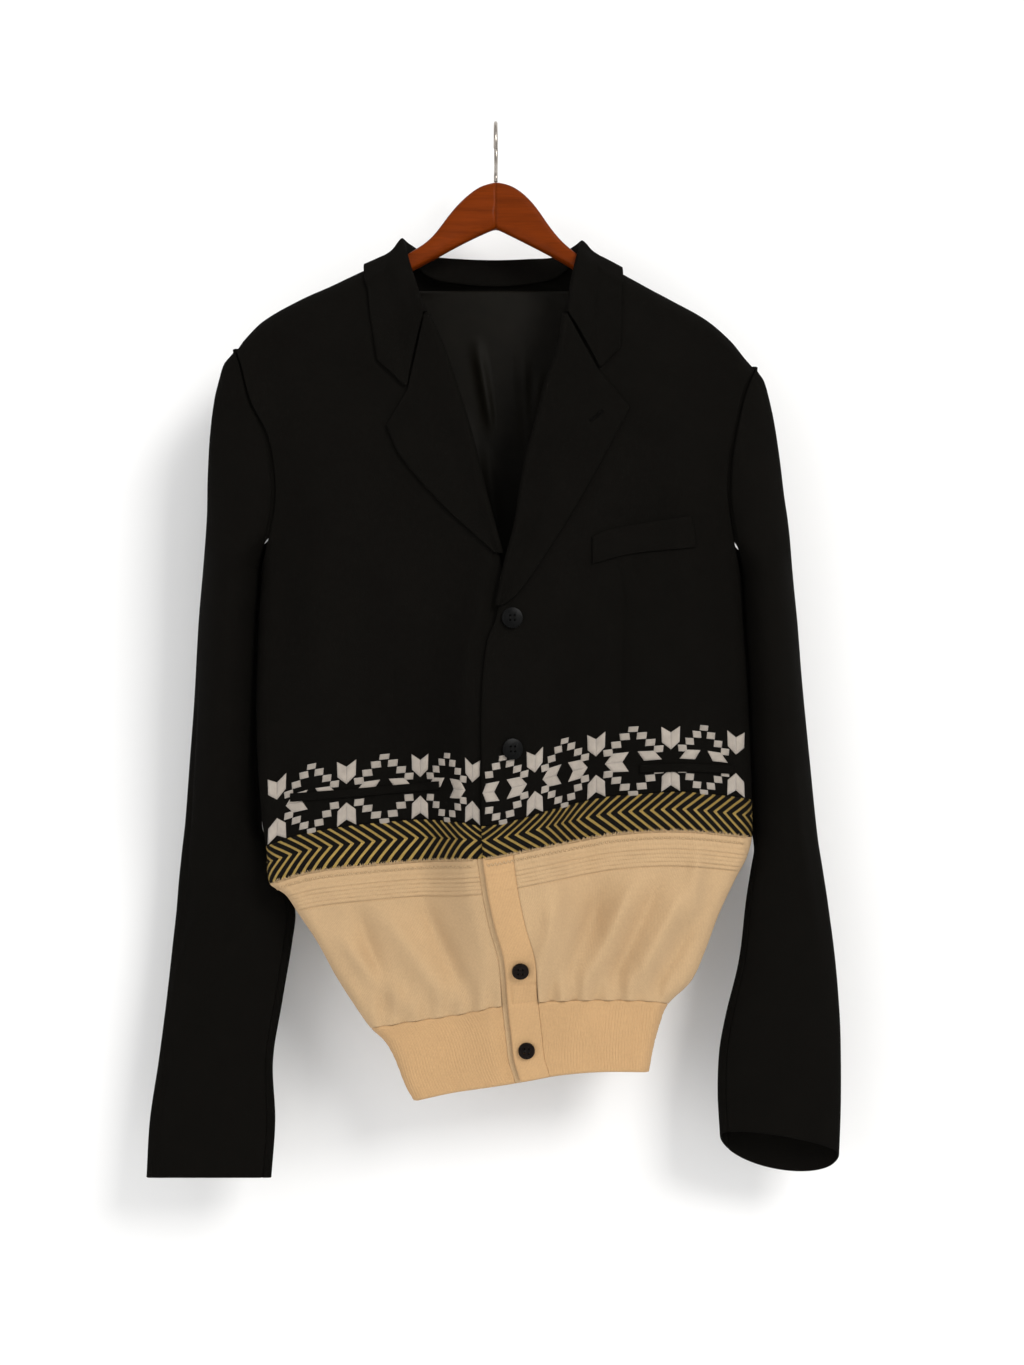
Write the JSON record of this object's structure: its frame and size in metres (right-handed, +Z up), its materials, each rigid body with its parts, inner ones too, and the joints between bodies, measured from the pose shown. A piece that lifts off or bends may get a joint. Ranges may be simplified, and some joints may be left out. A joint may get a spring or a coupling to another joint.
{
  "type": "blazer on a hanger",
  "caption": "Single-breasted tailored blazer with long sleeves, notch lapels and a knitted lower body, hanging closed on a contoured wooden hanger with a wire hook.",
  "frame": {"origin": "inside top of the hanger's hook, where it rests on a rail", "axes": "+X to the right of someone facing the blazer, +Y away from them, +Z up"},
  "size_m": [0.6432, 0.1303, 0.9803],
  "materials": {
    "wood": "varnished",
    "steel": "polished",
    "wool": "matte",
    "lining": "soft sheen",
    "braid": "raised",
    "knit": "soft",
    "button": "gloss"
  },
  "bodies": {
    "root": {"hanger_arm_left": "wood", "hanger_arm_right": "wood", "hanger_hook": "steel", "front_left": "wool", "front_right": "wool", "back": "wool", "lapel_left": "wool", "lapel_right": "wool", "collar": "wool", "back_lining": "lining", "sleeve_left_top": "wool", "sleeve_left_under": "wool", "sleeve_right_top": "wool", "sleeve_right_under": "wool", "breast_welt": "wool", "pocket_welt_left": "wool", "pocket_welt_right": "wool", "braid_left": "braid", "braid_right": "braid", "braid_back": "braid", "knit_left": "knit", "knit_right": "knit", "knit_back": "knit", "waistband_left": "knit", "waistband_right": "knit", "waistband_back": "knit", "placket_upper": "knit", "placket_under": "knit", "button_front_1": "button", "button_front_2": "button", "button_placket_1": "button", "button_placket_2": "button"}
  },
  "joints": []
}
